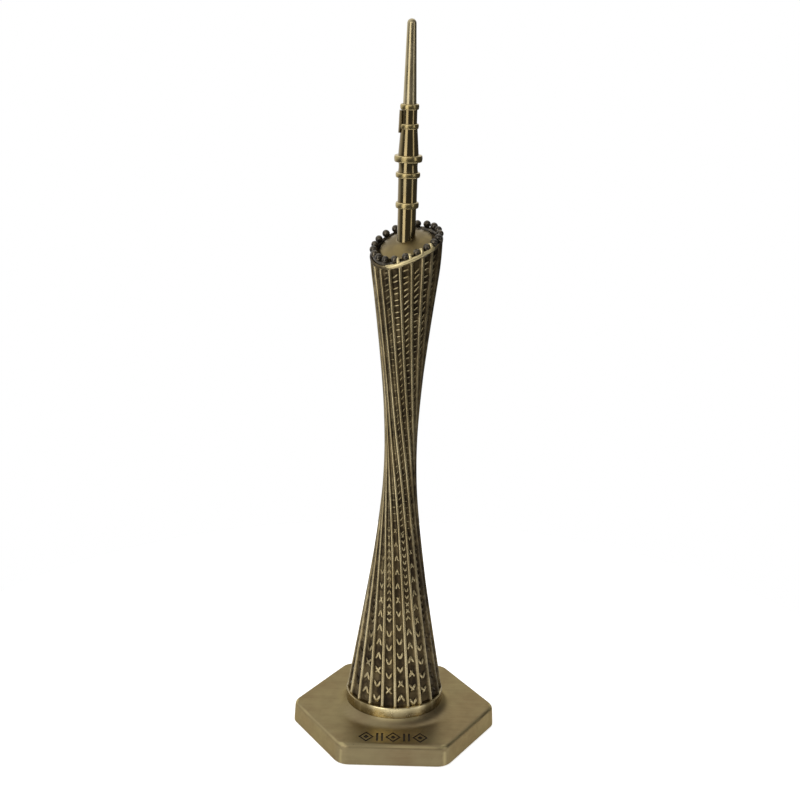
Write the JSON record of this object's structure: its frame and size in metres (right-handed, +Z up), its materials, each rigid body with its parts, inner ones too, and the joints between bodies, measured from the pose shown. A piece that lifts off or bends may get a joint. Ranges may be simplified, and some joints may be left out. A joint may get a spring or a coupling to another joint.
{
  "type": "souvenir tower figurine",
  "caption": "Desk souvenir in antique brass: a slim waisted tower with twisted ribs and a sloping beaded rim, a ringed mast with a tapered spire, on a hexagonal plate with a felt underside.",
  "frame": {"origin": "middle of the underside of the felt pad, which the figurine stands on", "axes": "+Z up along the tower and mast; -Y towards the viewer, square to one side of the hexagonal base; +X to the viewer's right, through a corner of the base"},
  "size_m": [0.072, 0.064, 0.2495],
  "materials": {
    "satin_brass": "antique brass plate, satin, finely brushed, warmer in the corners",
    "antique_brass": "antique brass plate, dark in the bays and rubbed bright on the ribs",
    "bright_brass": "relieved antique brass, polished",
    "dark_brass": "polished antique brass with a dark patina",
    "black_bead": "blackened metal, glossy",
    "felt": "black felt",
    "screw_steel": "bright zinc plate"
  },
  "bodies": {
    "root": {"base_plate": "satin_brass", "felt_pad": "felt", "base_screw": "screw_steel", "base_washer": "screw_steel", "foot_collar": "bright_brass", "tower_body": "antique_brass", "bead_ring": "black_bead", "deck_cap": "satin_brass", "mast_rod": "dark_brass", "mast_collar_1": "bright_brass", "mast_collar_2": "bright_brass", "mast_collar_3": "bright_brass", "mast_collar_4": "bright_brass", "mast_collar_5": "bright_brass", "mast_side_plate": "dark_brass", "mast_spire": "dark_brass"}
  },
  "joints": []
}
